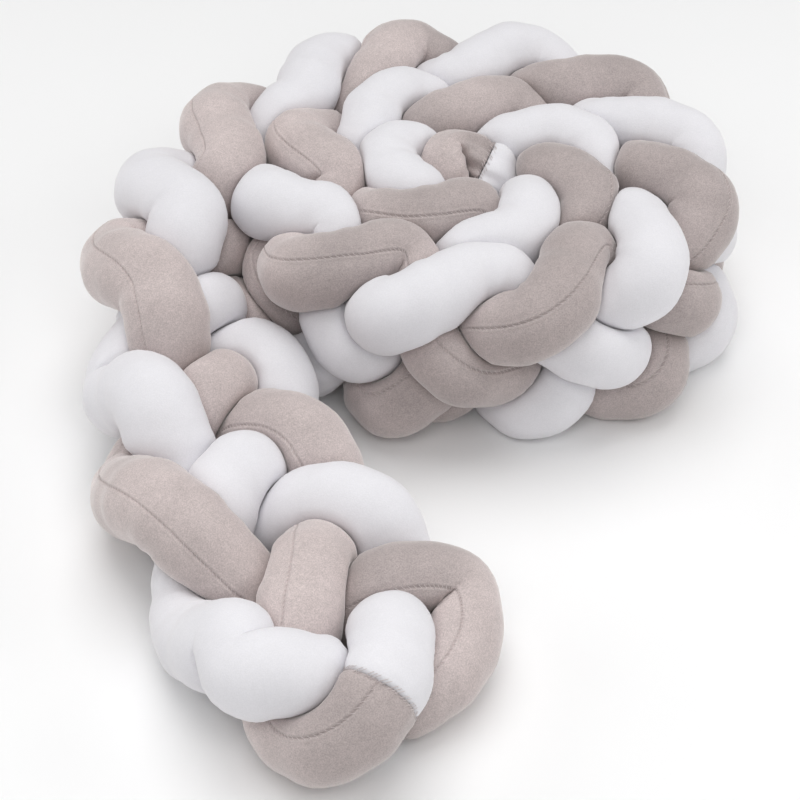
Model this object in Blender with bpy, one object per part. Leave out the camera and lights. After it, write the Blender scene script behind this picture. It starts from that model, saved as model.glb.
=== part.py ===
"""Crib bumper: four stuffed velour tubes in a flat plait, rolled up on its edge.

Two white and two taupe tubes are plaited over, under, over into a ribbon three
tubes wide. The ribbon stands on its edge in a roll of two turns. Its free end
leaves the roll at the back left, leans outwards and lies down flat in front.
At both ends of the ribbon the tubes are sewn end to end in pairs, so the four
middle lines follow each other round one closed path.

Metres, +Z up, origin under the middle of the whole, on the floor.
"""

import math

import bmesh
import bpy
import numpy as np

# Sizes of the tubes and of the plait.
TUBE_DIAMETER = 0.070
CROSSING_RISE = 0.023       # middle line above or below the ribbon where tubes cross
FLAT_HEIGHT = 0.058         # middle of the ribbon above the floor where it lies flat

# Loops of the plait are counted along its upper edge, up towards the free end.
FIRST_LOOP = -23
LAST_LOOP = 3
STEPS_PER_LOOP = 10
PATH_STEP = 0.010           # between points of the settled path
OWN_STRETCH = 0.110         # a tube does not press on itself nearer than this along it
CLOSEST = 0.042             # between the middle lines of tubes that press together
REST_HEIGHT = 0.027         # lowest middle line above the floor
TOP_HEIGHT = 0.155          # highest middle line of the roll's loops
SETTLE_TURNS = 240

# The skins of the tubes.
HOOPS = 180
TUBE_SIDES = 10
GAP = 0.0012                # left between the skins of two tubes
SEAM_GAP = 0.0010           # left between two tubes sewn end to end
CLEAR_TURNS = 8
TOUCH = 0.0035              # skin lower than this is pressed flat on the floor
MOST_SWELL = 1.05
FULLNESS = ((0.20, 0.32), (0.95, 1.03))     # metres from the roll's middle, share of radius

WHITE = ((0.86, 0.86, 0.88), 0.9)
TAUPE = ((0.47, 0.41, 0.39), 0.9)
TUBES = (
    ("strand_white_a", WHITE),
    ("strand_taupe_a", TAUPE),
    ("strand_white_b", WHITE),
    ("strand_taupe_b", TAUPE),
)

# The roll, seen from above: the ribbon's middle at each loop, from the roll's middle.
# columns: loop, radius, bearing in degrees
ROLL = (
    (-23, 0.062, -570),
    (-22, 0.104, -542),
    (-21, 0.092, -499),
    (-20, 0.080, -434),
    (-19, 0.078, -377),
    (-18, 0.078, -319),
    (-17, 0.098, -255),
    (-16, 0.151, -223),
    (-15, 0.151, -185),
    (-14, 0.153, -162),
    (-13, 0.143, -132),
    (-12, 0.132, -104),
    (-11, 0.129, -61),
    (-10, 0.136, -33),
    (-9, 0.136, 2),
    (-8, 0.137, 30),
    (-7, 0.148, 60),
    (-6, 0.161, 95),
    (-5, 0.172, 126),
    (-4, 0.196, 141),
)

# The free end, from the same middle. columns: loop, x, y
TAIL = (
    (-3, -0.230, 0.028),
    (-2, -0.260, -0.046),
    (-1, -0.270, -0.114),
    (0, -0.254, -0.221),
    (1, -0.228, -0.334),
    (2, -0.163, -0.459),
    (3, -0.095, -0.556),
)

# How the ribbon's width lies: its slope to the floor in degrees, the distance from
# its middle to the middle line of an edge loop, and how far its upper edge lags.
# columns: loop, slope, reach, lag as a share of the reach
WIDTH = (
    (-23, 90, 0.061, 0.00),
    (-18, 90, 0.061, 0.10),
    (-15, 89, 0.061, 0.25),
    (-14, 89, 0.061, 0.25),
    (-13, 84, 0.061, 0.35),
    (-12, 82, 0.061, 0.40),
    (-11, 87, 0.061, 0.42),
    (-10, 96, 0.061, 0.32),
    (-9, 97, 0.061, 0.25),
    (-7, 90, 0.061, 0.25),
    (-5, 90, 0.061, 0.25),
    (-4, 90, 0.061, 0.25),
    (-3, 84, 0.064, 0.20),
    (-2, 68, 0.072, 0.10),
    (-1, 46, 0.074, 0.03),
    (0, 21, 0.063, 0.08),
    (1, 10, 0.080, 0.18),
    (2, 5, 0.090, -0.15),
    (3, 4, 0.088, -0.20),
)

# Turns at the ribbon's ends, from the middle of its last loop: in tube diameters ahead,
# in edge reaches across to the upper edge, in tube diameters through to the outer face.
# columns: ahead, across, through
OUTER_UPPER_TURN = (
    (-0.45, -0.35, -0.22),
    (-0.20, -0.12, -0.36),
    (0.04, 0.10, -0.37),
    (0.12, 0.27, -0.31),
    (0.13, 0.49, -0.14),
    (-0.05, 0.67, 0.09),
    (-0.36, 0.75, 0.28),
    (-0.86, 0.70, 0.34),
)
OUTER_LOWER_TURN = (
    (-1.20, 1.06, -0.28),
    (-0.80, 0.92, -0.36),
    (-0.54, 0.64, -0.20),
    (-0.43, 0.32, 0.14),
    (-0.30, 0.06, 0.35),
    (-0.12, -0.14, 0.34),
    (0.02, -0.42, 0.27),
    (0.02, -0.68, 0.20),
    (-0.08, -0.94, 0.12),
    (-0.42, -1.13, -0.06),
)
INNER_UPPER_TURN = (
    (0.40, 0.95, 0.00),
    (0.75, 0.70, 0.00),
    (0.85, 0.25, 0.00),
    (0.60, -0.15, 0.00),
)
INNER_LOWER_TURN = (
    (0.35, -0.35, -0.20),
    (0.30, -0.80, 0.00),
)


def cubic_through(knots, values, places):
    """Read a natural cubic spline through rows of values at the given places."""
    widths = np.diff(knots)
    slopes = np.diff(values, axis=0) / widths[:, None]
    count = len(knots)
    system = np.eye(count)
    right = np.zeros_like(values)
    for row in range(1, count - 1):
        system[row, row - 1] = widths[row - 1]
        system[row, row] = 2 * (widths[row - 1] + widths[row])
        system[row, row + 1] = widths[row]
        right[row] = 6 * (slopes[row] - slopes[row - 1])
    bends = np.linalg.solve(system, right)
    cell = np.clip(np.searchsorted(knots, places) - 1, 0, count - 2)
    before = (places - knots[cell])[:, None]
    after = (knots[cell + 1] - places)[:, None]
    width = widths[cell][:, None]
    line = (values[cell] * after + values[cell + 1] * before) / width
    curve = bends[cell] * (after ** 3 / width - after * width)
    curve += bends[cell + 1] * (before ** 3 / width - before * width)
    return line + curve / 6


def ribbon_frames(loops):
    """Give the ribbon's middle, forward, across and through directions at the loops."""
    roll = np.array(ROLL, float)
    tail = np.array(TAIL, float)
    halves = np.arange(roll[0, 0], roll[-1, 0] + 0.1, 0.5)
    polar = cubic_through(roll[:, 0], roll[:, 1:], halves)
    bearing = np.radians(polar[:, 1])
    x = np.concatenate([polar[:, 0] * np.cos(bearing), tail[:, 1]])
    y = np.concatenate([polar[:, 0] * np.sin(bearing), tail[:, 2]])
    knots = np.concatenate([halves, tail[:, 0]])
    rows = np.column_stack([x, y])
    step = 0.01
    plan = cubic_through(knots, rows, loops)
    ahead = cubic_through(knots, rows, loops + step) - cubic_through(knots, rows, loops - step)
    ahead /= np.linalg.norm(ahead, axis=1)[:, None]
    width = np.array(WIDTH, float)
    slope, reach, lag = (np.interp(loops, width[:, 0], width[:, n])[:, None] for n in (1, 2, 3))
    slope = np.radians(slope)
    upright = np.array([0.0, 0.0, 1.0])
    level = np.zeros(len(loops))
    forward = np.column_stack([ahead, level])
    outward = np.column_stack([ahead[:, 1], -ahead[:, 0], level])
    across = np.sin(slope) * upright + np.cos(slope) * outward
    through = np.sin(slope) * outward - np.cos(slope) * upright
    height = REST_HEIGHT + (reach * np.sin(slope))[:, 0]
    middle = np.column_stack([plan, np.maximum(height, FLAT_HEIGHT)])
    return middle, forward, reach * (across - lag * forward), through


def plait_path(tube, first, last):
    """Middle line of one tube in the plait between two loop numbers."""
    steps = int(round(abs(last - first) * STEPS_PER_LOOP))
    loops = np.linspace(first, last, steps + 1)
    middle, _, across, through = ribbon_frames(loops)
    turn = (loops - tube)[:, None] * math.pi / 2
    rise = -CROSSING_RISE * (np.sin(3 * turn) + 0.17 * np.sin(turn)) / 0.83
    return middle + np.cos(turn) * across + rise * through


def turn_path(table, loop, sense):
    """Middle line of a turn at an end of the ribbon; sense is 1 outside, -1 inside."""
    middle, forward, across, through = ribbon_frames(np.array([float(loop)]))
    ahead, side, rise = np.array(table).T[:, :, None]
    aside = ahead * sense * forward + rise * sense * through
    return middle + TUBE_DIAMETER * aside + side * across


def closed_path():
    """Middle lines of all four tubes in a row, and the places of the four seams."""
    outer_upper = turn_path(OUTER_UPPER_TURN, LAST_LOOP, 1)
    outer_lower = turn_path(OUTER_LOWER_TURN, LAST_LOOP, 1)
    inner_upper = turn_path(INNER_UPPER_TURN, FIRST_LOOP, -1)
    inner_lower = turn_path(INNER_LOWER_TURN, FIRST_LOOP, -1)
    pieces = [
        plait_path(0, FIRST_LOOP + 0.3, LAST_LOOP - 0.4), outer_upper,
        plait_path(3, LAST_LOOP - 0.7, FIRST_LOOP + 0.3), inner_lower[::-1],
        plait_path(2, FIRST_LOOP + 0.3, LAST_LOOP - 0.85), outer_lower,
        plait_path(1, LAST_LOOP - 0.65, FIRST_LOOP), inner_upper,
    ]
    starts = np.cumsum([0] + [len(piece) for piece in pieces])
    seams = (starts[1] + 3, starts[3] + 1, starts[5] + 5, starts[7] + 0)
    return np.vstack(pieces), seams


def along(points):
    """Distance from the first point along a closed path to each point and back again."""
    steps = np.linalg.norm(np.roll(points, -1, axis=0) - points, axis=1)
    return np.concatenate([[0.0], np.cumsum(steps)])


def read_closed(points, lengths, places):
    """Read a closed path of points at distances along it."""
    lap = 6
    total = lengths[-1]
    looped = np.vstack([points[-lap:], points, points[:lap + 1]])
    knots = np.concatenate([lengths[-lap - 1:-1] - total, lengths[:-1], lengths[:lap + 1] + total])
    return cubic_through(knots, looped, np.mod(places, total))


def even_path():
    """The closed path in even steps, and the seams counted in those steps."""
    points, seams = closed_path()
    lengths = along(points)
    count = int(round(lengths[-1] / PATH_STEP))
    even = read_closed(points, lengths, np.linspace(0, lengths[-1], count, endpoint=False))
    return even, [lengths[seam] / lengths[-1] * count for seam in seams]


def near_pairs(points, reach):
    """Pairs of points that lie within reach but far apart along the path."""
    count = len(points)
    skip = int(round(OWN_STRETCH / PATH_STEP))
    squares = np.sum(points ** 2, axis=1)
    apart = squares[:, None] + squares[None, :] - 2 * points @ points.T
    first, second = np.nonzero(np.triu(apart < reach ** 2, skip))
    lap = second - first
    keep = np.minimum(lap, count - lap) >= skip
    return first[keep], second[keep]


def settle(points):
    """Push the middle lines apart where tubes would squash too much, above the floor."""
    shift = np.zeros_like(points)
    for turn in range(SETTLE_TURNS):
        placed = points + shift
        if turn % 10 == 0:
            first, second = near_pairs(placed, 1.3 * TUBE_DIAMETER)
        between = placed[second] - placed[first]
        apart = np.linalg.norm(between, axis=1)[:, None]
        push = np.clip(CLOSEST - apart, 0, None) / apart * between * 0.25
        np.add.at(shift, second, push)
        np.add.at(shift, first, -push)
        for _ in range(2):
            shift += 0.25 * (np.roll(shift, 1, axis=0) + np.roll(shift, -1, axis=0) - 2 * shift)
        shift *= 0.999
        height = points[:, 2] + shift[:, 2]
        height -= 0.5 * np.clip(height - TOP_HEIGHT, 0, None)
        shift[:, 2] = np.maximum(height, REST_HEIGHT) - points[:, 2]
    return points + shift


def hoop_places(path, start, end):
    """Places for the hoops of one tube between two seams, closer together in its bends."""
    lengths = along(path)
    places = np.linspace(start, end, 2000)
    step = 0.004
    here = read_closed(path, lengths, places)
    bend = read_closed(path, lengths, places + step) + read_closed(path, lengths, places - step)
    bend = np.linalg.norm(bend - 2 * here, axis=1) / step ** 2
    weight = 1 + bend * TUBE_DIAMETER / 2
    weight = np.cumsum(weight)
    return np.interp(np.linspace(weight[0], weight[-1], HOOPS), weight, places)


def hoop_frames(path, places):
    """Centre of each hoop and the rays from it to the corners of its skin."""
    lengths = along(path)
    step = 0.001
    centres = read_closed(path, lengths, places)
    forward = read_closed(path, lengths, places + step) - read_closed(path, lengths, places - step)
    forward /= np.linalg.norm(forward, axis=1)[:, None]
    side = np.cross(forward[0], (0.0, 0.0, 1.0))
    sides = []
    for direction in forward:
        side = side - np.dot(side, direction) * direction
        side /= np.linalg.norm(side)
        sides.append(side)
    sides = np.array(sides)
    uppers = np.cross(forward, sides)
    angles = np.arange(TUBE_SIDES) * 2 * math.pi / TUBE_SIDES
    rays = np.cos(angles)[:, None] * sides[:, None] + np.sin(angles)[:, None] * uppers[:, None]
    return centres, rays


def crowds(path, places, centres):
    """For each hoop, the nearby points of its own stretch of the path and all others."""
    lengths = along(path)
    total = lengths[-1]
    spots = np.arange(0, total, PATH_STEP / 2)
    points = read_closed(path, lengths, spots)
    found = []
    for place, centre in zip(places, centres):
        lap = np.abs(spots - place % total)
        lap = np.minimum(lap, total - lap)
        near = np.sum((points - centre) ** 2, axis=1) < (2.5 * TUBE_DIAMETER) ** 2
        own = lap <= OWN_STRETCH
        found.append((points[near & own & (lap > PATH_STEP / 2)], points[near & ~own]))
    return found


def halfway(centre, rays, points):
    """Distance along each ray to where it is halfway to the nearest of some points."""
    between = points - centre
    facing = np.maximum(rays @ between.T, 1e-6)
    return (np.sum(between ** 2, axis=1) / (2 * facing)).min(axis=1)


def free_reach(centres, rays, around):
    """How far the skin can go along each ray, up to its neighbours and the floor."""
    reach = np.empty(rays.shape[:2])
    for row, (own, others) in enumerate(around):
        bend = halfway(centres[row], rays[row], own)
        wall = halfway(centres[row], rays[row], others) - GAP / 2
        floor = centres[row][2] / np.maximum(-rays[row][:, 2], 1e-6)
        reach[row] = np.minimum(np.minimum(bend, wall), floor)
    return reach


def stuffed(centres):
    """Free radius of the tube at each hoop; the free end is stuffed a little fuller."""
    from_roll = np.hypot(centres[:, 0], centres[:, 1])
    return TUBE_DIAMETER / 2 * np.interp(from_roll, *FULLNESS)


def swell(reach, free_radius):
    """Radius along each ray: a squashed tube swells where it is free, without spikes."""
    corner = 0.5 * math.sin(2 * math.pi / TUBE_SIDES)
    wanted = TUBE_SIDES * corner * free_radius ** 2
    low = free_radius
    high = low * MOST_SWELL
    for _ in range(20):
        tried = (low + high) / 2
        radius = np.minimum(reach, tried[:, None])
        area = corner * np.sum(radius * np.roll(radius, -1, axis=1), axis=1)
        low = np.where(area < wanted, tried, low)
        high = np.where(area < wanted, high, tried)
    for _ in range(3):
        low[1:-1] = (low[:-2] + 2 * low[1:-1] + low[2:]) / 4
    radius = np.minimum(reach, low[:, None])
    for _ in range(6):
        beside = (np.roll(radius, 1, axis=1) + np.roll(radius, -1, axis=1)) / 2
        radius = np.minimum(radius, 1.04 * beside)
        radius[1:-1] = np.minimum(radius[1:-1], 1.04 * (radius[:-2] + radius[2:]) / 2)
    return radius


def clear_neighbours(centres, rays, radius, around):
    """Draw the skin in where a facet between its corners would reach past halfway."""
    for _ in range(CLEAR_TURNS):
        skin = centres[:, None] + radius[:, :, None] * rays
        cut = np.zeros_like(radius)
        for row in range(len(centres) - 1):
            here, after = skin[row], skin[row + 1]
            here_next, after_next = np.roll(here, -1, axis=0), np.roll(after, -1, axis=0)
            spots = np.stack([here, (here + here_next) / 2, (here + after) / 2,
                              (here + after_next) / 2, (here + after + after_next) / 3,
                              (here + here_next + after_next) / 3])
            own, others = around[row]
            own_way = np.linalg.norm(spots[:, :, None] - own, axis=3).min(axis=2)
            other_way = np.linalg.norm(spots[:, :, None] - others, axis=3).min(axis=2)
            lack = np.clip(GAP - (other_way - own_way), 0, None).max(axis=0)
            lack_next = np.maximum(lack, np.roll(lack, 1))
            cut[row] = np.maximum(cut[row], lack_next)
            cut[row + 1] = np.maximum(cut[row + 1], lack_next)
        radius = radius - 0.5 * cut
    return radius


def tube_mesh(name, path, start, end):
    """A closed stuffed tube between two seams of the path."""
    places = hoop_places(path, start + SEAM_GAP / 2, end - SEAM_GAP / 2)
    centres, rays = hoop_frames(path, places)
    around = crowds(path, places, centres)
    radius = swell(free_reach(centres, rays, around), stuffed(centres))
    radius = clear_neighbours(centres, rays, radius, around)
    skin = centres[:, None] + radius[:, :, None] * rays
    skin[:, :, 2] = np.where(skin[:, :, 2] < TOUCH, 0.0, skin[:, :, 2])
    made = bmesh.new()
    rows = [[made.verts.new(corner) for corner in ring] for ring in skin]
    for ring, after in zip(rows[:-1], rows[1:]):
        for corner in range(TUBE_SIDES):
            beside = (corner + 1) % TUBE_SIDES
            made.faces.new((ring[corner], after[corner], after[beside]))
            made.faces.new((ring[corner], after[beside], ring[beside]))
    made.faces.new(rows[0])
    made.faces.new(rows[-1][::-1])
    bmesh.ops.triangulate(made, faces=made.faces[:])
    bmesh.ops.recalc_face_normals(made, faces=made.faces[:])
    mesh = bpy.data.meshes.new(name)
    made.to_mesh(mesh)
    made.free()
    mesh.shade_smooth()
    return mesh


def cloth(name, colour, roughness):
    """A plain velour material."""
    material = bpy.data.materials.new(name)
    material.use_nodes = True
    shader = material.node_tree.nodes["Principled BSDF"]
    shader.inputs["Base Color"].default_value = (*colour, 1.0)
    shader.inputs["Roughness"].default_value = roughness
    shader.inputs["Metallic"].default_value = 0.0
    return material


def build():
    """Make the four tubes and move them over the origin."""
    for thing in list(bpy.data.objects):
        bpy.data.objects.remove(thing)
    path, seams = even_path()
    path = settle(path)
    lengths = along(path)
    seams = list(np.interp(seams, np.arange(len(lengths)), lengths))
    ends = [seams[3] - lengths[-1]] + seams
    tubes = []
    for index, (name, finish) in enumerate(TUBES):
        mesh = tube_mesh(name, path, ends[index], ends[index + 1])
        tube = bpy.data.objects.new(name, mesh)
        mesh.materials.append(cloth(name, *finish))
        bpy.context.scene.collection.objects.link(tube)
        tubes.append(tube)
    corners = np.array([corner.co[:] for tube in tubes for corner in tube.data.vertices])
    shift = -(corners.min(axis=0) + corners.max(axis=0)) / 2
    shift[2] = 0.0
    for tube in tubes:
        for corner in tube.data.vertices:
            corner.co.x += shift[0]
            corner.co.y += shift[1]
    return shift


SHIFT = build()
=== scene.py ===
import math

import bmesh
import bpy
import numpy as np
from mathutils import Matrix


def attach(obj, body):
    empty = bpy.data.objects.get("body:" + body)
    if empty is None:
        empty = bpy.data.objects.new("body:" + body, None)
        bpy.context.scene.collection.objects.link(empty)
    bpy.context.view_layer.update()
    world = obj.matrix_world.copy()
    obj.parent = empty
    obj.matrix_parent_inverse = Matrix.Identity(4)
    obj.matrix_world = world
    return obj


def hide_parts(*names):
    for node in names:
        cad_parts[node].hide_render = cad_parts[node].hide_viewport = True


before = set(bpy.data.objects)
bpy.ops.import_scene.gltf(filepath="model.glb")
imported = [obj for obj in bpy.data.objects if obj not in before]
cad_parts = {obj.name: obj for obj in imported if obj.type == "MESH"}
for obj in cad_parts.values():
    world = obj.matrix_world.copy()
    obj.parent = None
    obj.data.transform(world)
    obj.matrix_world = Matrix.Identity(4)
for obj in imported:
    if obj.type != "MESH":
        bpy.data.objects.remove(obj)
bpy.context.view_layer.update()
print("solids:", sorted(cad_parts))

# %% [markdown]
# ## The camera
# The photograph looks down at about forty degrees through a long lens, from far off, so
# near and far loops keep almost the same size. The camera comes first, because every
# later choice is judged through it. ROLL_MIDDLE is where the middle of the roll lies.
# %% Set up the camera
ROLL_MIDDLE = np.array([0.0742, 0.1918, 0.0])
CAMERA_FROM_ROLL = (-0.0867, -1.9933, 1.5610)
CAMERA_TILT = 50.0          # degrees from looking straight down
CAMERA_LENS = 118.8         # millimetres, on a 36 mm sensor

camera_data = bpy.data.cameras.new("camera")
camera_data.lens = CAMERA_LENS
camera_data.sensor_width = 36.0
camera = bpy.data.objects.new("camera", camera_data)
camera.location = ROLL_MIDDLE + CAMERA_FROM_ROLL
camera.rotation_euler = (math.radians(CAMERA_TILT), 0.0, 0.0)
bpy.context.scene.collection.objects.link(camera)
bpy.context.scene.camera = camera
print("camera at", tuple(round(value, 3) for value in camera.location))

# %% [markdown]
# ## The plait as sizes and tables
# A plait is easier to describe by its ribbon than by its tubes. The ribbon's middle is
# given from above, once for each loop along its upper edge, and each tube then swings
# from edge to edge of that ribbon. The places of the loops were read off the photograph
# by eye, worked out in metres and degrees by a separate measuring program, and then
# adjusted until the outline fitted.
# %% State the sizes and tables
TUBE_DIAMETER = 0.070
CROSSING_RISE = 0.023       # middle line above or below the ribbon where tubes cross
FLAT_HEIGHT = 0.058         # middle of the ribbon above the floor where it lies flat
FIRST_LOOP = -23
LAST_LOOP = 3
STEPS_PER_LOOP = 10
PATH_STEP = 0.010           # between points of the settled path
OWN_STRETCH = 0.110         # a tube does not press on itself nearer than this along it
CLOSEST = 0.042             # between the middle lines of tubes that press together
REST_HEIGHT = 0.027         # lowest middle line above the floor
TOP_HEIGHT = 0.155          # highest middle line of the roll's loops
SETTLE_TURNS = 240

# columns: loop, radius, bearing in degrees, from the roll's middle
ROLL = (
    (-23, 0.062, -570),
    (-22, 0.104, -542),
    (-21, 0.092, -499),
    (-20, 0.080, -434),
    (-19, 0.078, -377),
    (-18, 0.078, -319),
    (-17, 0.098, -255),
    (-16, 0.151, -223),
    (-15, 0.151, -185),
    (-14, 0.153, -162),
    (-13, 0.143, -132),
    (-12, 0.132, -104),
    (-11, 0.129, -61),
    (-10, 0.136, -33),
    (-9, 0.136, 2),
    (-8, 0.137, 30),
    (-7, 0.148, 60),
    (-6, 0.161, 95),
    (-5, 0.172, 126),
    (-4, 0.196, 141),
)

# columns: loop, x, y, from the same middle
TAIL = (
    (-3, -0.230, 0.028),
    (-2, -0.260, -0.046),
    (-1, -0.270, -0.114),
    (0, -0.254, -0.221),
    (1, -0.228, -0.334),
    (2, -0.163, -0.459),
    (3, -0.095, -0.556),
)

# columns: loop, slope of the width in degrees, reach to an edge loop, lag of the upper edge
WIDTH = (
    (-23, 90, 0.061, 0.00),
    (-18, 90, 0.061, 0.10),
    (-15, 89, 0.061, 0.25),
    (-14, 89, 0.061, 0.25),
    (-13, 84, 0.061, 0.35),
    (-12, 82, 0.061, 0.40),
    (-11, 87, 0.061, 0.42),
    (-10, 96, 0.061, 0.32),
    (-9, 97, 0.061, 0.25),
    (-7, 90, 0.061, 0.25),
    (-5, 90, 0.061, 0.25),
    (-4, 90, 0.061, 0.25),
    (-3, 84, 0.064, 0.20),
    (-2, 68, 0.072, 0.10),
    (-1, 46, 0.074, 0.03),
    (0, 21, 0.063, 0.08),
    (1, 10, 0.080, 0.18),
    (2, 5, 0.090, -0.15),
    (3, 4, 0.088, -0.20),
)

# columns: ahead in tube diameters, across in edge reaches, through in tube diameters
OUTER_UPPER_TURN = (
    (-0.45, -0.35, -0.22),
    (-0.20, -0.12, -0.36),
    (0.04, 0.10, -0.37),
    (0.12, 0.27, -0.31),
    (0.13, 0.49, -0.14),
    (-0.05, 0.67, 0.09),
    (-0.36, 0.75, 0.28),
    (-0.86, 0.70, 0.34),
)
OUTER_LOWER_TURN = (
    (-1.20, 1.06, -0.28),
    (-0.80, 0.92, -0.36),
    (-0.54, 0.64, -0.20),
    (-0.43, 0.32, 0.14),
    (-0.30, 0.06, 0.35),
    (-0.12, -0.14, 0.34),
    (0.02, -0.42, 0.27),
    (0.02, -0.68, 0.20),
    (-0.08, -0.94, 0.12),
    (-0.42, -1.13, -0.06),
)
INNER_UPPER_TURN = (
    (0.40, 0.95, 0.00),
    (0.75, 0.70, 0.00),
    (0.85, 0.25, 0.00),
    (0.60, -0.15, 0.00),
)
INNER_LOWER_TURN = (
    (0.35, -0.35, -0.20),
    (0.30, -0.80, 0.00),
)
print("loops on the upper edge:", LAST_LOOP - FIRST_LOOP + 1)

# %% [markdown]
# ## A smooth line through a table
# A natural cubic spline passes through every row of a table without corners, so a short
# table is enough for a long soft curve.
# %% Read a curve through table rows


def cubic_through(knots, values, places):
    """Read a natural cubic spline through rows of values at the given places."""
    widths = np.diff(knots)
    slopes = np.diff(values, axis=0) / widths[:, None]
    count = len(knots)
    system = np.eye(count)
    right = np.zeros_like(values)
    for row in range(1, count - 1):
        system[row, row - 1] = widths[row - 1]
        system[row, row] = 2 * (widths[row - 1] + widths[row])
        system[row, row + 1] = widths[row]
        right[row] = 6 * (slopes[row] - slopes[row - 1])
    bends = np.linalg.solve(system, right)
    cell = np.clip(np.searchsorted(knots, places) - 1, 0, count - 2)
    before = (places - knots[cell])[:, None]
    after = (knots[cell + 1] - places)[:, None]
    width = widths[cell][:, None]
    line = (values[cell] * after + values[cell + 1] * before) / width
    curve = bends[cell] * (after ** 3 / width - after * width)
    curve += bends[cell + 1] * (before ** 3 / width - before * width)
    return line + curve / 6


# %% [markdown]
# ## The ribbon and the tubes' middle lines
# At each loop the ribbon has four directions: its middle, forward, across to the upper
# edge, and through to its outer face. A tube's middle line swings across as a cosine
# and passes over and under the others as a faster sine.
# %% Frame the ribbon and swing the tubes


def ribbon_frames(loops):
    """Give the ribbon's middle, forward, across and through directions at the loops."""
    roll = np.array(ROLL, float)
    tail = np.array(TAIL, float)
    halves = np.arange(roll[0, 0], roll[-1, 0] + 0.1, 0.5)
    polar = cubic_through(roll[:, 0], roll[:, 1:], halves)
    bearing = np.radians(polar[:, 1])
    x = np.concatenate([polar[:, 0] * np.cos(bearing), tail[:, 1]])
    y = np.concatenate([polar[:, 0] * np.sin(bearing), tail[:, 2]])
    knots = np.concatenate([halves, tail[:, 0]])
    rows = np.column_stack([x, y])
    step = 0.01
    plan = cubic_through(knots, rows, loops)
    ahead = cubic_through(knots, rows, loops + step) - cubic_through(knots, rows, loops - step)
    ahead /= np.linalg.norm(ahead, axis=1)[:, None]
    width = np.array(WIDTH, float)
    slope, reach, lag = (np.interp(loops, width[:, 0], width[:, n])[:, None] for n in (1, 2, 3))
    slope = np.radians(slope)
    upright = np.array([0.0, 0.0, 1.0])
    level = np.zeros(len(loops))
    forward = np.column_stack([ahead, level])
    outward = np.column_stack([ahead[:, 1], -ahead[:, 0], level])
    across = np.sin(slope) * upright + np.cos(slope) * outward
    through = np.sin(slope) * outward - np.cos(slope) * upright
    height = REST_HEIGHT + (reach * np.sin(slope))[:, 0]
    middle = np.column_stack([plan, np.maximum(height, FLAT_HEIGHT)])
    return middle, forward, reach * (across - lag * forward), through


def plait_path(tube, first, last):
    """Middle line of one tube in the plait between two loop numbers."""
    steps = int(round(abs(last - first) * STEPS_PER_LOOP))
    loops = np.linspace(first, last, steps + 1)
    middle, _, across, through = ribbon_frames(loops)
    turn = (loops - tube)[:, None] * math.pi / 2
    rise = -CROSSING_RISE * (np.sin(3 * turn) + 0.17 * np.sin(turn)) / 0.83
    return middle + np.cos(turn) * across + rise * through


# %% [markdown]
# ## One closed line through all four tubes
# At both ends of the ribbon the tubes are sewn end to end in pairs, one white to one
# taupe. So the four middle lines follow each other round one closed path, and the
# turns at the ends are short tables of their own.
# %% Join the four middle lines


def turn_path(table, loop, sense):
    """Middle line of a turn at an end of the ribbon; sense is 1 outside, -1 inside."""
    middle, forward, across, through = ribbon_frames(np.array([float(loop)]))
    ahead, side, rise = np.array(table).T[:, :, None]
    aside = ahead * sense * forward + rise * sense * through
    return middle + TUBE_DIAMETER * aside + side * across


def closed_path():
    """Middle lines of all four tubes in a row, and the places of the four seams."""
    outer_upper = turn_path(OUTER_UPPER_TURN, LAST_LOOP, 1)
    outer_lower = turn_path(OUTER_LOWER_TURN, LAST_LOOP, 1)
    inner_upper = turn_path(INNER_UPPER_TURN, FIRST_LOOP, -1)
    inner_lower = turn_path(INNER_LOWER_TURN, FIRST_LOOP, -1)
    pieces = [
        plait_path(0, FIRST_LOOP + 0.3, LAST_LOOP - 0.4), outer_upper,
        plait_path(3, LAST_LOOP - 0.7, FIRST_LOOP + 0.3), inner_lower[::-1],
        plait_path(2, FIRST_LOOP + 0.3, LAST_LOOP - 0.85), outer_lower,
        plait_path(1, LAST_LOOP - 0.65, FIRST_LOOP), inner_upper,
    ]
    starts = np.cumsum([0] + [len(piece) for piece in pieces])
    seams = (starts[1] + 3, starts[3] + 1, starts[5] + 5, starts[7] + 0)
    return np.vstack(pieces), seams


def along(points):
    """Distance from the first point along a closed path to each point and back again."""
    steps = np.linalg.norm(np.roll(points, -1, axis=0) - points, axis=1)
    return np.concatenate([[0.0], np.cumsum(steps)])


def read_closed(points, lengths, places):
    """Read a closed path of points at distances along it."""
    lap = 6
    total = lengths[-1]
    looped = np.vstack([points[-lap:], points, points[:lap + 1]])
    knots = np.concatenate([lengths[-lap - 1:-1] - total, lengths[:-1], lengths[:lap + 1] + total])
    return cubic_through(knots, looped, np.mod(places, total))


def even_path():
    """The closed path in even steps, and the seams counted in those steps."""
    points, seams = closed_path()
    lengths = along(points)
    count = int(round(lengths[-1] / PATH_STEP))
    even = read_closed(points, lengths, np.linspace(0, lengths[-1], count, endpoint=False))
    return even, [lengths[seam] / lengths[-1] * count for seam in seams]


# %% [markdown]
# ## Settling the tubes against each other
# Real tubes press each other aside. Points of the middle lines that come too near are
# pushed apart a little, the push is spread along the tube, and the floor holds them up.
# A few hundred rounds give the uneven, hand-plaited look without a cloth simulation.
# %% Settle the middle lines


def near_pairs(points, reach):
    """Pairs of points that lie within reach but far apart along the path."""
    count = len(points)
    skip = int(round(OWN_STRETCH / PATH_STEP))
    squares = np.sum(points ** 2, axis=1)
    apart = squares[:, None] + squares[None, :] - 2 * points @ points.T
    first, second = np.nonzero(np.triu(apart < reach ** 2, skip))
    lap = second - first
    keep = np.minimum(lap, count - lap) >= skip
    return first[keep], second[keep]


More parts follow.
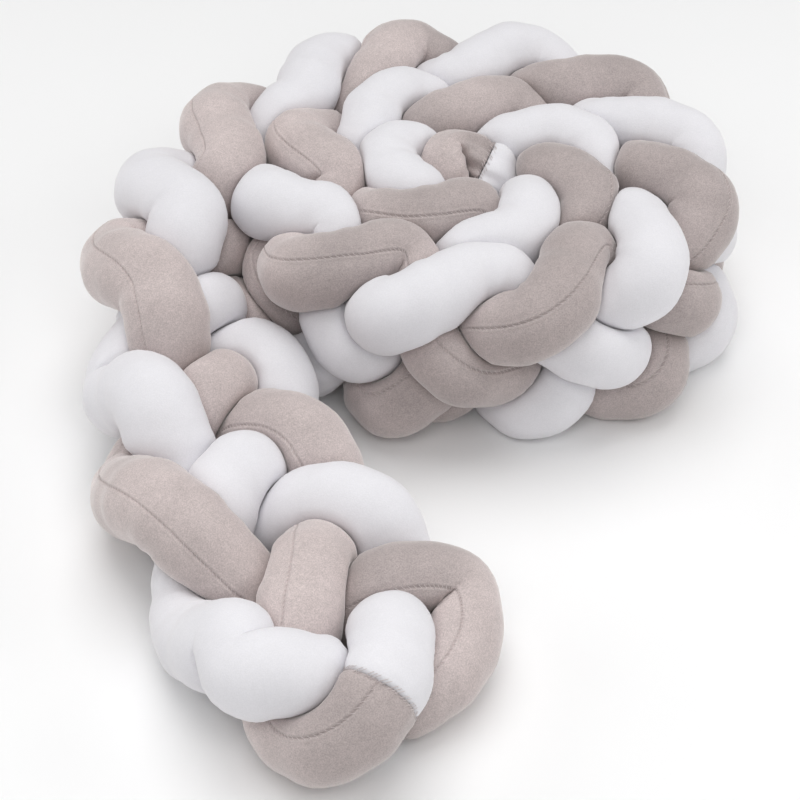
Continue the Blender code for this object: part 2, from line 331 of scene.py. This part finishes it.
def settle(points):
    """Push the middle lines apart where tubes would squash too much, above the floor."""
    shift = np.zeros_like(points)
    for turn in range(SETTLE_TURNS):
        placed = points + shift
        if turn % 10 == 0:
            first, second = near_pairs(placed, 1.3 * TUBE_DIAMETER)
        between = placed[second] - placed[first]
        apart = np.linalg.norm(between, axis=1)[:, None]
        push = np.clip(CLOSEST - apart, 0, None) / apart * between * 0.25
        np.add.at(shift, second, push)
        np.add.at(shift, first, -push)
        for _ in range(2):
            shift += 0.25 * (np.roll(shift, 1, axis=0) + np.roll(shift, -1, axis=0) - 2 * shift)
        shift *= 0.999
        height = points[:, 2] + shift[:, 2]
        height -= 0.5 * np.clip(height - TOP_HEIGHT, 0, None)
        shift[:, 2] = np.maximum(height, REST_HEIGHT) - points[:, 2]
    return points + shift


path, seams = even_path()
path = settle(path) + ROLL_MIDDLE
path_lengths = along(path)
seams = [float(place) for place in np.interp(seams, np.arange(len(path_lengths)), path_lengths)]
print("tube sewn and stuffed: %.2f m in all" % path_lengths[-1])

# %% [markdown]
# ## Hoops and rays
# Each tube's skin is drawn on hoops across its middle line. A hoop has rays from its
# centre, and the skin is a distance along each ray. The frame of the hoops is carried
# along without twist. Ray zero is turned to follow the tube's long seam, which faces out
# of the roll and up on the taupe tubes and inward on the white ones. The rays lie close
# together beside it, where the cloth has its finest shape.
# %% Lay out hoops and rays
HOOP_STEP = 0.0048
RAY_STEP = 0.0030
SEAM_RAYS = (0.0007, 0.0014, 0.0022, 0.0032, 0.0044, 0.0056, 0.0064, 0.0072, 0.0088)


def ray_angles():
    """Angles of the rays from the seam, close beside it and wider apart elsewhere."""
    radius = TUBE_DIAMETER / 2
    half_round = math.pi * radius
    count = int((half_round - SEAM_RAYS[-1]) / RAY_STEP)
    wide = np.linspace(SEAM_RAYS[-1], half_round, count + 1)[1:-1]
    side = np.concatenate([SEAM_RAYS, wide])
    return np.concatenate([[0.0], side, [half_round], 2 * half_round - side[::-1]]) / radius


def hoop_places(start, end):
    """Places for the hoops of one tube between two seams, closer together in its bends."""
    places = np.linspace(start, end, 4000)
    step = 0.006
    bend = read_closed(path, path_lengths, places + step) - 2 * read_closed(path, path_lengths, places)
    bend = np.linalg.norm(bend + read_closed(path, path_lengths, places - step), axis=1) / step ** 2
    to_seam = np.minimum(places - start, end - places)
    weight = 1 + 0.5 * bend * TUBE_DIAMETER / 2 + 2 * np.exp(-((to_seam / 0.02) ** 2))
    weight = np.cumsum(weight)
    count = int((end - start) / HOOP_STEP)
    return np.interp(np.linspace(weight[0], weight[-1], count), weight, places)


def hoop_frames(places):
    """Centre of each hoop and its two unit directions, carried along without twist."""
    step = 0.001
    centres = read_closed(path, path_lengths, places)
    forward = read_closed(path, path_lengths, places + step)
    forward -= read_closed(path, path_lengths, places - step)
    forward /= np.linalg.norm(forward, axis=1)[:, None]
    side = np.cross(forward[0], (0.0, 0.0, 1.0))
    sides = []
    for direction in forward:
        side = side - np.dot(side, direction) * direction
        side /= np.linalg.norm(side)
        sides.append(side)
    sides = np.array(sides)
    return centres, sides, np.cross(forward, sides)


SEAM_RISE = 0.9             # how far the seam faces up, for each 1 that it faces outward
SEAM_EASE = 160             # rounds of smoothing, since a sewn seam cannot twist quickly
SEAM_SIDES = {"strand_white_a": -1, "strand_taupe_a": 1, "strand_white_b": -1, "strand_taupe_b": 1}


def seam_turn(name, centres, sides, uppers):
    """Angle of the long seam on each hoop: outward and up on taupe, inward on white."""
    facing = centres - ROLL_MIDDLE
    facing[:, 2] = 0.0
    facing /= np.linalg.norm(facing, axis=1)[:, None]
    facing[:, 2] = SEAM_RISE
    facing *= SEAM_SIDES[name]
    turns = np.arctan2(np.sum(facing * uppers, axis=1), np.sum(facing * sides, axis=1))
    return smooth_rows(np.unwrap(turns), SEAM_EASE)


def smooth_rows(values, passes):
    """Even out values from hoop to hoop, and keep both ends."""
    for _ in range(passes):
        inner = (values[:-2] + 2 * values[1:-1] + values[2:]) / 4
        values = np.concatenate([values[:1], inner, values[-1:]])
    return values


print("rays on each hoop:", len(ray_angles()))

# %% [markdown]
# ## How far the skin can go
# Two stuffed tubes that press together share the room between them, so each skin stops
# halfway to the other tube's middle line. The same rule keeps the inside of a tight bend
# from passing through itself, and the floor presses the lowest loops flat.
# %% Find the room around each hoop
GAP = 0.0008                # left between two skins
NEIGHBOUR_STEP = 0.002      # between the points that stand for the other tubes

neighbour_places = np.arange(0, path_lengths[-1], NEIGHBOUR_STEP)
neighbour_points = read_closed(path, path_lengths, neighbour_places)


def halfway(centre, rays, points):
    """Distance along each ray to where it is halfway to the nearest of some points."""
    between = points - centre
    facing = np.maximum(rays @ between.T, 1e-6)
    return (np.sum(between ** 2, axis=1) / (2 * facing)).min(axis=1)


def room_around(places, centres, rays):
    """Distance along each ray to the tube's own bend and to other tubes or the floor."""
    total = path_lengths[-1]
    bend = np.empty(rays.shape[:2])
    wall = np.empty(rays.shape[:2])
    for row, (place, centre) in enumerate(zip(places, centres)):
        lap = np.abs(neighbour_places - place % total)
        lap = np.minimum(lap, total - lap)
        near = np.sum((neighbour_points - centre) ** 2, axis=1) < (2.5 * TUBE_DIAMETER) ** 2
        own = near & (lap <= OWN_STRETCH) & (lap > 0.004)
        others = near & (lap > OWN_STRETCH)
        bend[row] = halfway(centre, rays[row], neighbour_points[own])
        floor = centre[2] / np.maximum(-rays[row][:, 2], 1e-6)
        between_tubes = halfway(centre, rays[row], neighbour_points[others]) - GAP / 2
        wall[row] = np.minimum(between_tubes, floor)
    return bend, wall


# %% [markdown]
# ## A stuffed cross-section
# The filling keeps its volume: where a tube is pressed flat on one side, it swells on the
# other. So each hoop gets the one free radius that keeps its area, and the corner
# between the free skin and the pressed one is rounded as soft cloth rounds it.
# %% Swell each hoop to its full area
MOST_SWELL = 1.03
CORNER_ROUND = 0.007        # width over which free and pressed skin blend
FULLNESS = ((0.20, 0.32), (0.95, 1.03))     # metres from the roll's middle, share of radius


def least_rounded(first, second, width):
    """The lesser of two distances, with the corner between them rounded off."""
    near = np.clip(1 - np.abs(first - second) / width, 0, None)
    return np.minimum(first, second) - near * near * width / 4


def hoop_area(radius, angles):
    """Area inside each hoop, as a fan of thin triangles."""
    wedge = np.sin(np.diff(np.append(angles, angles[0] + 2 * math.pi)))
    return 0.5 * np.sum(radius * np.roll(radius, -1, axis=1) * wedge, axis=1)


def stuffed(centres):
    """Free radius of the tube at each hoop; the free end was stuffed a little fuller."""
    from_roll = np.hypot(*(centres - ROLL_MIDDLE)[:, :2].T)
    return TUBE_DIAMETER / 2 * np.interp(from_roll, *FULLNESS)


def swell(bend, wall, angles, free_radius):
    """Distance to the skin along each ray of each hoop."""
    room = least_rounded(bend, wall, CORNER_ROUND)
    low = free_radius
    wanted = math.pi * free_radius ** 2
    high = low * MOST_SWELL
    for _ in range(16):
        tried = (low + high) / 2
        area = hoop_area(np.minimum(room, tried[:, None]), angles)
        low = np.where(area < wanted, tried, low)
        high = np.where(area < wanted, high, tried)
    free = smooth_rows(low, 30)
    radius = least_rounded(room, free[:, None], CORNER_ROUND)
    return smooth_rows(radius, 3)


# %% [markdown]
# ## What the sewing does to the skin
# The long seam is a narrow groove between two soft lips, and the cloth beside it is drawn
# in. The filling is a little uneven. Where a tube bends tightly its inner side creases,
# and where two tubes are sewn end to end the cloth is gathered into small folds.
# %% Shape seams, creases and gathers
SEAM_GROOVE = 0.0012
GROOVE_WIDTH = 0.0009
SEAM_LIP = 0.0005
LIP_PLACE = 0.0024          # from the groove to the top of a lip
LIP_WIDTH = 0.0011
DRAWN_IN = 0.0013
DRAWN_WIDTH = 0.008
LUMP = 0.0006
CREASE = 0.0018
CREASED_BELOW = 0.050       # room inside a bend at which creases begin
CREASED_OVER = 0.016        # further loss of room until they are full
END_TUCK = 0.0022           # how far an end is drawn in at its seam
END_TUCK_WIDTH = 0.003
FREE_ROOM = 0.004           # room at which the sewing shows at its full height
# columns: fold depth and reach along the tube, at its start and at its end
GATHERS = {
    "strand_white_a": (0.0016, 0.016, 0.0003, 0.010),
    "strand_taupe_a": (0.0005, 0.012, 0.0022, 0.030),
    "strand_white_b": (0.0022, 0.022, 0.0004, 0.010),
    "strand_taupe_b": (0.0005, 0.012, 0.0024, 0.034),
}


def seam_relief(across, run):
    """Height of the skin beside the long seam, at distances across and along it."""
    ripple = 1 + 0.35 * np.sin(run / 0.0021) * np.sin(run / 0.0173)
    groove = SEAM_GROOVE * np.exp(-((across / GROOVE_WIDTH) ** 2))
    lips = SEAM_LIP * ripple * np.exp(-(((np.abs(across) - LIP_PLACE) / LIP_WIDTH) ** 2))
    return lips - groove - DRAWN_IN * np.exp(-((across / DRAWN_WIDTH) ** 2))


def lumps(run, angles):
    """Unevenness of the filling."""
    waves = np.sin(run / 0.0097 + 1.7) + np.sin(run / 0.0059 + angles + 0.6)
    return LUMP * (waves + 0.7 * np.sin(run / 0.0037 + 2 * angles + 2.1))


def creases(run, angles, bend):
    """Creases across the inner side of tight bends."""
    tight = np.clip((CREASED_BELOW - bend) / CREASED_OVER, 0, 1)
    folds = 0.5 + 0.5 * np.sin(run / 0.0021 + 1.5 * np.sin(2 * angles) + 0.8 * np.sin(run / 0.011))
    return -CREASE * tight * folds ** 3


def gathers(name, run, length, angles):
    """Small folds along the tube where it is sewn to the next one."""
    start_depth, start_reach, end_depth, end_reach = GATHERS[name]
    folds = np.sin(11 * angles + 0.9 * np.sin(3 * angles)) + 0.6 * np.sin(17 * angles + 2.0)
    strength = start_depth * np.exp(-run / start_reach)
    strength = strength + end_depth * np.exp(-(length - run) / end_reach)
    return strength * (folds - 0.6)


# %% [markdown]
# ## Velour
# Velour is a knitted cloth with a short, dense pile. It has no shine of its own, but its
# pile catches light at the edges of a shape, which is what Sheen does. The pile leans
# along the tube, and the taupe colour has painted sheen: it is painted lighter where
# the tube runs towards +y than where it runs back, by a value on the mesh. Soft noise
# adds brushed patches, and a finer noise tints and bumps the surface like the ends of the pile.
# %% Make the velour finishes
WHITE = (0.81, 0.80, 0.83)
TAUPE = (0.44, 0.38, 0.37)


def velour(name, colour, brushed, grain, sheen):
    """A velour finish: brushed is how uneven its colour is, grain how coarse it looks."""
    material = bpy.data.materials.new(name)
    material.use_nodes = True
    nodes = material.node_tree.nodes
    links = material.node_tree.links
    shader = nodes["Principled BSDF"]
    shader.inputs["Roughness"].default_value = 0.9
    shader.inputs["Sheen Weight"].default_value = sheen
    shader.inputs["Sheen Roughness"].default_value = 0.4
    shader.inputs["Sheen Tint"].default_value = (1.0, 0.97, 0.95, 1.0)
    place = nodes.new("ShaderNodeTexCoord")
    tones = None
    for scale, strength, detail in ((22.0, brushed, 3.0), (170.0, 0.6 * brushed, 2.0),
                                    (900.0, grain, 2.0)):
        noise = nodes.new("ShaderNodeTexNoise")
        noise.inputs["Scale"].default_value = scale
        noise.inputs["Detail"].default_value = detail
        links.new(place.outputs["Object"], noise.inputs["Vector"])
        tone = nodes.new("ShaderNodeMapRange")
        tone.inputs["From Min"].default_value = 0.3
        tone.inputs["From Max"].default_value = 0.7
        tone.inputs["To Min"].default_value = 1.0 - strength
        tone.inputs["To Max"].default_value = 1.0 + strength
        links.new(noise.outputs["Fac"], tone.inputs["Value"])
        if tones is None:
            tones = tone.outputs["Result"]
            continue
        multiply = nodes.new("ShaderNodeMath")
        multiply.operation = "MULTIPLY"
        links.new(tones, multiply.inputs[0])
        links.new(tone.outputs["Result"], multiply.inputs[1])
        tones = multiply.outputs["Value"]
    # painted sheen: the colour is multiplied by a value on the mesh, lighter where the tube runs
    # towards +y
    nap_sheen = nodes.new("ShaderNodeAttribute")
    nap_sheen.attribute_name = "nap_sheen"
    painted_sheen = nodes.new("ShaderNodeMath")
    painted_sheen.operation = "MULTIPLY"
    links.new(tones, painted_sheen.inputs[0])
    links.new(nap_sheen.outputs["Fac"], painted_sheen.inputs[1])
    tones = painted_sheen.outputs["Value"]
    colouring = nodes.new("ShaderNodeVectorMath")
    colouring.operation = "SCALE"
    colouring.inputs[0].default_value = colour
    links.new(tones, colouring.inputs["Scale"])
    links.new(colouring.outputs["Vector"], shader.inputs["Base Color"])
    pile = nodes.new("ShaderNodeTexNoise")
    pile.inputs["Scale"].default_value = 700.0
    pile.inputs["Detail"].default_value = 3.0
    links.new(place.outputs["Object"], pile.inputs["Vector"])
    bump = nodes.new("ShaderNodeBump")
    bump.inputs["Strength"].default_value = 0.25
    bump.inputs["Distance"].default_value = 0.0006
    links.new(pile.outputs["Fac"], bump.inputs["Height"])
    links.new(bump.outputs["Normal"], shader.inputs["Normal"])
    return material


def thread(name, colour):
    """Spun polyester thread: smoother than velour, with the ribs of its twist."""
    material = bpy.data.materials.new(name)
    material.use_nodes = True
    nodes = material.node_tree.nodes
    links = material.node_tree.links
    shader = nodes["Principled BSDF"]
    shader.inputs["Base Color"].default_value = (*colour, 1.0)
    shader.inputs["Roughness"].default_value = 0.55
    place = nodes.new("ShaderNodeTexCoord")
    twist = nodes.new("ShaderNodeTexWave")
    twist.inputs["Scale"].default_value = 900.0
    bump = nodes.new("ShaderNodeBump")
    bump.inputs["Strength"].default_value = 0.4
    bump.inputs["Distance"].default_value = 0.0001
    links.new(place.outputs["Object"], twist.inputs["Vector"])
    links.new(twist.outputs["Fac"], bump.inputs["Height"])
    links.new(bump.outputs["Normal"], shader.inputs["Normal"])
    return material


white_velour = velour("white_velour", WHITE, 0.015, 0.03, 0.30)
taupe_velour = velour("taupe_velour", TAUPE, 0.07, 0.17, 0.65)
white_thread = thread("white_thread", (0.80, 0.79, 0.80))
pale_thread = thread("pale_thread", (0.66, 0.60, 0.59))
print("finishes:", white_velour.name, taupe_velour.name, white_thread.name, pale_thread.name)

# %% [markdown]
# ## The four tubes
# Each skin is a grid of hoops by rays, closed round and capped at its two ends. The
# names of the solids that the tubes replace are kept, with "tube" in front.
# %% Make the tubes


def tube_skin(name, start, end):
    """Centres, rays, distances to a tube's skin and its free room, between two seams."""
    places = hoop_places(start + 0.0003, end - 0.0003)
    centres, sides, uppers = hoop_frames(places)
    angles = ray_angles()
    turned = angles + seam_turn(name, centres, sides, uppers)[:, None]
    rays = np.cos(turned)[..., None] * sides[:, None] + np.sin(turned)[..., None] * uppers[:, None]
    bend, wall = room_around(places, centres, rays)
    radius = swell(bend, wall, angles, stuffed(centres))
    free = np.clip((wall - radius) / FREE_ROOM, 0, 1)
    run = (places - start)[:, None]
    across = np.where(angles > math.pi, angles - 2 * math.pi, angles) * TUBE_DIAMETER / 2
    detail = seam_relief(across, run) + lumps(run, turned)
    detail = detail + gathers(name, run, end - start, angles)
    radius = radius + np.where(detail > 0, detail * free, detail * (0.3 + 0.7 * free))
    radius = radius + creases(run, turned, bend)
    to_end = np.minimum(places - start, end - places)
    radius = radius - END_TUCK * np.exp(-((to_end / END_TUCK_WIDTH) ** 2))[:, None]
    return places, centres, rays, np.minimum(radius, wall), wall - radius


def add_nap_sheen(mesh, centres, sides, lift):
    """Store the painted sheen of the pile: a colour made lighter where the tube runs towards +y, as
    the leaning pile would catch light.
    """
    run = np.gradient(centres, axis=0)
    # painted sheen: the colour is lifted by up to 1 + lift where the tube runs towards +y
    away = np.clip(run[:, 1] / np.linalg.norm(run, axis=1), 0, 1)
    values = smooth_rows(1 + lift * away, 8)
    layer = mesh.attributes.new("nap_sheen", "FLOAT", "POINT")
    layer.data.foreach_set("value", np.repeat(values, sides).astype(np.float32))


def grid_mesh(name, skin):
    """A closed mesh over hoops of points, smooth shaded."""
    hoops, sides = skin.shape[:2]
    first = np.arange(hoops - 1)[:, None] * sides
    corner = np.arange(sides)[None, :]
    beside = (corner + 1) % sides
    quads = np.stack([first + corner, first + sides + corner, first + sides + beside,
                      first + beside], axis=-1).reshape(-1, 4)
    faces = [tuple(range(sides)), tuple(range(hoops * sides - 1, (hoops - 1) * sides - 1, -1))]
    mesh = bpy.data.meshes.new(name)
    mesh.from_pydata(skin.reshape(-1, 3).tolist(), [], quads.tolist() + faces)
    mesh.shade_smooth()
    return mesh


TUBES = (
    # node, finish, slot, thread, lift of the painted sheen where the pile leans away
    ("strand_white_a", white_velour, "white_velour", white_thread, 0.0),
    ("strand_taupe_a", taupe_velour, "taupe_velour", pale_thread, 0.4),
    ("strand_white_b", white_velour, "white_velour", white_thread, 0.0),
    ("strand_taupe_b", taupe_velour, "taupe_velour", pale_thread, 0.4),
)
ends = [seams[3] - path_lengths[-1]] + seams
skins = []
for index, (node, finish, slot, _, lift) in enumerate(TUBES):
    places, centres, rays, radius, free = tube_skin(node, ends[index], ends[index + 1])
    skin = centres[:, None] + radius[:, :, None] * rays
    mesh = grid_mesh("tube_" + node, skin)
    add_nap_sheen(mesh, centres, skin.shape[1], lift)
    mesh.materials.append(finish)
    tube = bpy.data.objects.new("tube_" + node, mesh)
    bpy.context.scene.collection.objects.link(tube)
    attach(tube, "root")
    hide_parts(node)
    skins.append((places, skin, rays, free))
    print(tube.name, len(places), "hoops, %.2f m" % (ends[index + 1] - ends[index]))

# %% [markdown]
# ## The stitches
# The long seams are oversewn: each stitch is a short bow of thread that crosses the
# groove at a slant. The same stitch, a little longer, holds the tubes together end to
# end. Stitches are laid only where the skin is free, since pressed ones cannot be seen.
# %% Sew the seams
STITCH_STEP = 0.0036
THREAD_RADIUS = 0.00028
STITCH_RAYS = (-3, -1, 0, 1, 3)             # rays that a stitch crosses
STITCH_LIFT = (-0.0003, 0.0003, 0.0010, 0.0003, -0.0003)
STITCH_SLANT = 0.0012
END_STITCHES = 60
END_SLANT = 2                               # rays that an end stitch leans over
END_LIFT = (-0.0002, 0.0004, 0.0006, 0.0004, -0.0002)
SEWN_ROOM = 0.0016          # room that a long seam needs for its stitches to lie free
END_ROOM = 0.0010           # the same at an end seam


def thread_mesh(name, bows, outward):
    """One mesh of short threads, each a row of points, with an outward direction each."""
    forward = np.gradient(bows, axis=1)
    forward /= np.linalg.norm(forward, axis=2)[..., None]
    side = np.cross(forward, outward[:, None])
    side /= np.linalg.norm(side, axis=2)[..., None]
    upper = np.cross(side, forward)
    corners = np.stack([bows + THREAD_RADIUS * side, bows + THREAD_RADIUS * upper,
                        bows - THREAD_RADIUS * side, bows - THREAD_RADIUS * upper], axis=2)
    count, length = bows.shape[:2]
    faces = [(4 * row + n, 4 * row + (n + 1) % 4, 4 * row + 4 + (n + 1) % 4, 4 * row + 4 + n)
             for row in range(length - 1) for n in range(4)]
    last = 4 * length - 4
    faces += [(3, 2, 1, 0), (last, last + 1, last + 2, last + 3)]
    faces = (np.arange(count)[:, None, None] * 4 * length + np.array(faces)).reshape(-1, 4)
    mesh = bpy.data.meshes.new(name)
    mesh.from_pydata(corners.reshape(-1, 3).tolist(), [], faces.tolist())
    mesh.shade_smooth()
    return mesh


def add_thread(name, mesh, finish):
    """Put a mesh of thread in the scene as a piece of its own."""
    mesh.materials.append(finish)
    piece = bpy.data.objects.new(name, mesh)
    bpy.context.scene.collection.objects.link(piece)
    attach(piece, "root")
    print(name, len(mesh.polygons), "faces")


def long_seam_bows(places, skin, rays, free):
    """Points of the stitches along one tube's long seam."""
    runs = np.arange(places[0] + 0.006, places[-1] - 0.006, STITCH_STEP)
    runs = runs[np.interp(runs, places, free[:, 0]) > SEWN_ROOM]
    rows = np.arange(len(places))
    bows = []
    for place, ray, lift in zip(np.linspace(-1, 1, 5), STITCH_RAYS, STITCH_LIFT):
        at = np.interp(runs + place * STITCH_SLANT, places, rows)
        low = np.minimum(at.astype(int), len(places) - 2)
        share = (at - low)[:, None]
        point = (1 - share) * skin[low, ray] + share * skin[low + 1, ray]
        bows.append(point + lift * rays[low, 0])
    at = np.interp(runs, places, rows).astype(int)
    return np.stack(bows, axis=1), rays[at, 0]


def end_seam_bows(first, second):
    """Points of the stitches across the join of two tubes, where both skins are free."""
    _, skin, rays, free = first
    next_start = second[1][1]
    sides = skin.shape[1]
    bows = []
    outward = []
    for ray in np.linspace(0, sides, END_STITCHES, endpoint=False).astype(int):
        if free[-2, ray] < END_ROOM:
            continue
        start = skin[-2, ray]
        aim = skin[-2, (ray + END_SLANT) % sides]
        end = next_start[np.argmin(np.linalg.norm(next_start - aim, axis=1))]
        shares = np.linspace(0, 1, 5)[:, None]
        lift = np.array(END_LIFT)[:, None]
        bows.append((1 - shares) * start + shares * end + lift * rays[-2, ray])
        outward.append(rays[-2, ray])
    return np.array(bows), np.array(outward)


for (node, _, slot, thread_finish, _), skin_parts in zip(TUBES, skins):
    stitch_mesh = thread_mesh("seam_" + node, *long_seam_bows(*skin_parts))
    add_thread("seam_" + node, stitch_mesh, thread_finish)
for index in range(4):
    bows, outward = end_seam_bows(skins[index], skins[(index + 1) % 4])
    name = "join_%d" % (index + 1)
    if len(bows):
        add_thread(name, thread_mesh(name, bows, outward), pale_thread)

# %% [markdown]
# ## Floor and light
# The floor is plain and pale. The broad light above makes the tops brightest. It is a sun
# as wide as a ceiling, so the far floor stays as pale as the near one. A weaker light
# high in front opens the lower loops, and one at each side rounds the tubes off. Little
# light comes from all round, so the grooves between the tubes go dark by themselves.
# %% Lay the floor and set the lights
floor_mesh = bpy.data.meshes.new("floor")
floor_edge = bmesh.new()
bmesh.ops.create_grid(floor_edge, x_segments=1, y_segments=1, size=30.0)
floor_edge.to_mesh(floor_mesh)
floor_edge.free()
floor = bpy.data.objects.new("floor", floor_mesh)
floor_finish = bpy.data.materials.new("floor")
floor_finish.use_nodes = True
floor_shader = floor_finish.node_tree.nodes["Principled BSDF"]
floor_shader.inputs["Base Color"].default_value = (0.93, 0.93, 0.93, 1.0)
floor_shader.inputs["Roughness"].default_value = 0.9
floor_mesh.materials.append(floor_finish)
bpy.context.scene.collection.objects.link(floor)

SKY_STRENGTH = 1.6
SKY_WIDTH = 50.0            # degrees across, so its shadows are soft
SKY_TILT = 14.0             # degrees from straight above, towards the back
LIGHTS = (
    # name, place, size, watts
    ("front", (0.1, -2.0, 2.2), 1.8, 28.0),
    ("left", (-2.2, 0.2, 1.2), 1.6, 13.0),
    ("right", (2.2, 0.2, 1.2), 1.6, 15.0),
)
for name, place, size, watts in LIGHTS:
    lamp_data = bpy.data.lights.new(name, "AREA")
    lamp_data.size = size
    lamp_data.energy = watts
    lamp = bpy.data.objects.new(name, lamp_data)
    lamp.location = place
    aim = -np.array(place)
    lamp.rotation_euler = (
        math.atan2(math.hypot(aim[0], aim[1]), -aim[2]),
        0.0,
        math.atan2(aim[1], aim[0]) - math.pi / 2,
    )
    bpy.context.scene.collection.objects.link(lamp)

sky_data = bpy.data.lights.new("above", "SUN")
sky_data.energy = SKY_STRENGTH
sky_data.angle = math.radians(SKY_WIDTH)
sky = bpy.data.objects.new("above", sky_data)
sky.location = (0.1, 0.6, 2.4)
sky.rotation_euler = (math.radians(-SKY_TILT), 0.0, 0.0)
bpy.context.scene.collection.objects.link(sky)

world = bpy.data.worlds.new("studio")
world.use_nodes = True
world.node_tree.nodes["Background"].inputs["Color"].default_value = (1.0, 1.0, 1.0, 1.0)
world.node_tree.nodes["Background"].inputs["Strength"].default_value = 0.15
bpy.context.scene.world = world
bpy.context.scene.view_settings.view_transform = "Standard"
print("lights:", ["above"] + [row[0] for row in LIGHTS])
